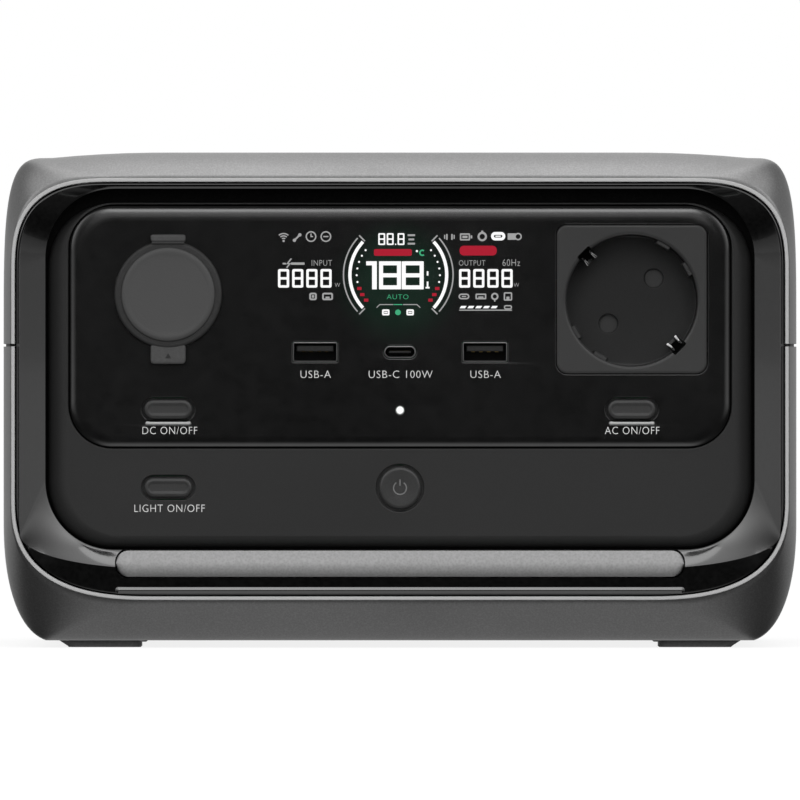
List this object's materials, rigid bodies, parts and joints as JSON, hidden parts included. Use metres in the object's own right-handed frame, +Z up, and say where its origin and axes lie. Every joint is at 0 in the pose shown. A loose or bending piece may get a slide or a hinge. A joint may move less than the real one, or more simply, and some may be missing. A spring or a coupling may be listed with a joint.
{
  "type": "portable power station",
  "caption": "Portable power station: rounded graphite case, recessed glossy front with display, mains, 12 V and USB outlets, lamp bar, side vents and a rear carrying handle.",
  "frame": {"origin": "centre of the footprint, on the surface the station stands on", "axes": "the front with the display faces -Y, +X is to the right seen from the front, +Z is up"},
  "size_m": [0.2346, 0.232, 0.1464],
  "materials": {
    "case_graphite": "fine-textured graphite ABS/PC",
    "inner_black": "moulded black",
    "ring_gloss": "polished dark grey",
    "fascia_black": "fine satin black",
    "window_black": "piano black acrylic",
    "lamp_diffuser": "frosted polycarbonate diffuser",
    "board_green": "solder mask",
    "inner_grey": "moulded grey",
    "light_pipe": "clear light guide",
    "button_dark": "satin black keycap",
    "port_steel": "plated steel",
    "port_insulator": "black insulator",
    "contact_brass": "plated brass",
    "cap_rubber": "matt grey rubber",
    "socket_grey": "satin dark grey",
    "earth_nickel": "nickel plated",
    "cell_can": "sleeved cell",
    "nickel_strip": "nickel strip",
    "ferrite": "ferrite and copper",
    "sink_aluminium": "extruded",
    "grille_black": "textured black",
    "grip_rubber": "soft overmould",
    "foot_rubber": "matt rubber",
    "screw_steel": "black zinc"
  },
  "bodies": {
    "case": {"upper_shell": "case_graphite", "lower_shell": "case_graphite", "seam_strips": "inner_black", "bezel_ring": "ring_gloss", "fascia": "fascia_black", "display_window": "window_black", "light_bar": "lamp_diffuser", "light_bar_board": "board_green", "front_carrier": "inner_black", "display_board": "board_green", "lcd_module": "inner_grey", "tact_switches": "inner_black", "light_pipes": "light_pipe", "usb_a_left_shell": "port_steel", "usb_a_right_shell": "port_steel", "usb_c_shell": "port_steel", "usb_tongues": "port_insulator", "car_socket_housing": "inner_black", "car_socket_barrel": "port_steel", "car_socket_contact": "contact_brass", "cap_anchor": "cap_rubber", "ac_socket_cup": "socket_grey", "ac_socket_back": "inner_grey", "ac_socket_contacts": "contact_brass", "ac_earth_clips": "earth_nickel", "cell_holder_lower": "inner_black", "cell_holder_upper": "inner_black", "battery_cells": "cell_can", "busbars": "nickel_strip", "battery_board": "board_green", "mid_frame": "inner_grey", "main_board": "board_green", "transformer": "ferrite", "filter_chokes": "ferrite", "bulk_capacitors": "inner_black", "heatsink_left": "sink_aluminium", "heatsink_right": "sink_aluminium", "fan_left_frame": "inner_black", "fan_right_frame": "inner_black", "vent_grille_left": "grille_black", "vent_grille_right": "grille_black", "rear_panel": "grille_black", "ac_inlet": "port_insulator", "ac_inlet_pins": "contact_brass", "dc_inlet": "contact_brass", "rear_handle": "case_graphite", "handle_grip": "grip_rubber", "front_feet": "foot_rubber", "rear_feet": "foot_rubber", "case_screws": "screw_steel", "rear_panel_screws": "screw_steel", "handle_screws": "screw_steel"},
    "power_key": {"power_button": "button_dark"},
    "ac_key": {"ac_button": "button_dark"},
    "dc_key": {"dc_button": "button_dark"},
    "light_key": {"light_button": "button_dark"},
    "outlet_cover": {"car_socket_cap": "cap_rubber"},
    "socket_shutter": {"ac_socket_shutter": "socket_grey"},
    "left_rotor": {"fan_left_rotor": "inner_black"},
    "right_rotor": {"fan_right_rotor": "inner_black"}
  },
  "joints": [
    {"name": "power_press", "type": "slide", "parent": "case", "child": "power_key", "axis": [0, 1, 0], "range_m": [0, 0.0008], "stiffness_N_per_m": 1500, "springref_m": -0.0004},
    {"name": "ac_press", "type": "slide", "parent": "case", "child": "ac_key", "axis": [0, 1, 0], "range_m": [0, 0.0008], "stiffness_N_per_m": 1500, "springref_m": -0.0004},
    {"name": "dc_press", "type": "slide", "parent": "case", "child": "dc_key", "axis": [0, 1, 0], "range_m": [0, 0.0008], "stiffness_N_per_m": 1500, "springref_m": -0.0004},
    {"name": "light_press", "type": "slide", "parent": "case", "child": "light_key", "axis": [0, 1, 0], "range_m": [0, 0.0008], "stiffness_N_per_m": 1500, "springref_m": -0.0004},
    {"name": "socket_cap", "type": "hinge", "parent": "case", "child": "outlet_cover", "pos_m": [-0.0685, -0.1098, 0.1196], "axis": [-1, 0, 0], "range_deg": [0, 115], "stiffness_Nm_per_rad": 0.002, "springref_deg": -22.92},
    {"name": "shutter_turn", "type": "hinge", "parent": "case", "child": "socket_shutter", "pos_m": [0.0685, -0.0867, 0.1026], "axis": [0, 1, 0], "range_deg": [0, 45], "stiffness_Nm_per_rad": 0.002, "springref_deg": -22.92},
    {"name": "fan_left_spin", "type": "hinge", "parent": "case", "child": "left_rotor", "pos_m": [-0.103, 0.008, 0.052], "axis": [-1, 0, 0], "continuous": true},
    {"name": "fan_right_spin", "type": "hinge", "parent": "case", "child": "right_rotor", "pos_m": [0.103, 0.008, 0.052], "axis": [1, 0, 0], "continuous": true}
  ]
}
